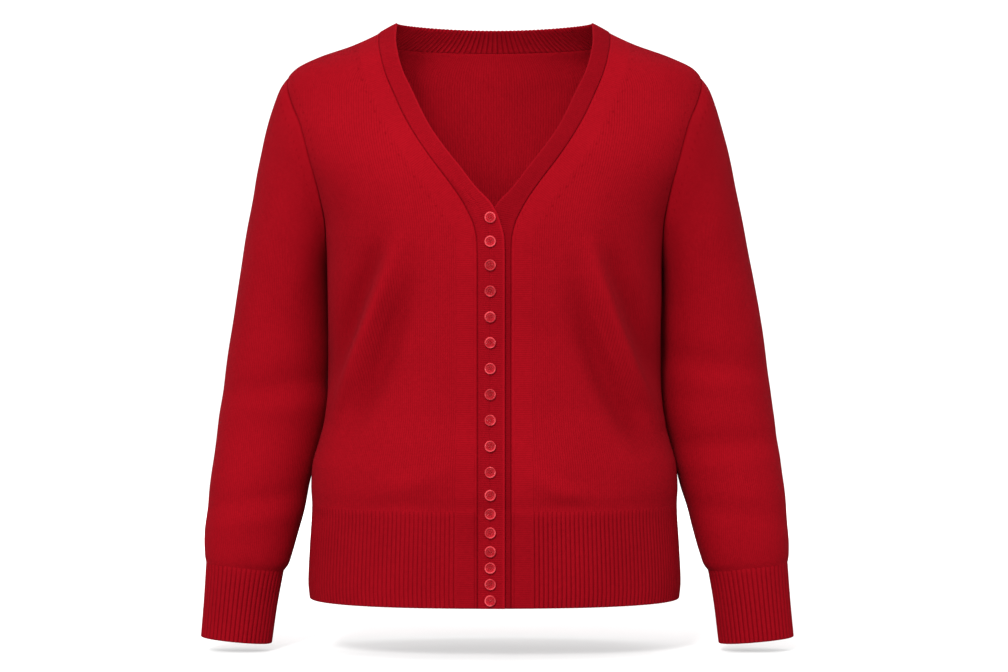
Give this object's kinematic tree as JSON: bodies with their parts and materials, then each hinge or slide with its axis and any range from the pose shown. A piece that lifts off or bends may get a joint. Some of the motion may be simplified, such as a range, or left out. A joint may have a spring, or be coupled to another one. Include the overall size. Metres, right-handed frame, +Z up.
{
  "type": "button cardigan",
  "caption": "Fine-knit V-neck cardigan, long sleeves, ribbed cuffs and deep ribbed hem, closed down the front with small buttons, hollow as if worn.",
  "frame": {"origin": "between the shoulders, level with the two points where the shoulder line meets the neck, where the wearer holds it up", "axes": "+X to the wearer's left, -Y out of the buttoned front, +Z up"},
  "size_m": [0.6099, 0.2421, 0.6375],
  "materials": {
    "wool": "fine plain knit, soft and slightly fuzzy",
    "rib": "fine ribbed knit",
    "band_rib": "doubled band, fine ribs across it",
    "button": "glossy moulded"
  },
  "bodies": {
    "root": {"back": "wool", "front_right": "wool", "front_left": "wool", "sleeve_right": "wool", "sleeve_left": "wool", "cuff_right": "rib", "cuff_left": "rib", "hem_back": "rib", "hem_front_right": "rib", "hem_front_left": "rib", "band_right": "band_rib", "band_left": "band_rib", "neck_band_back": "rib", "button_01": "button", "button_02": "button", "button_03": "button", "button_04": "button", "button_05": "button", "button_06": "button", "button_07": "button", "button_08": "button", "button_09": "button", "button_10": "button", "button_11": "button", "button_12": "button", "button_13": "button", "button_14": "button", "button_15": "button", "button_16": "button", "button_17": "button", "button_18": "button"}
  },
  "joints": []
}
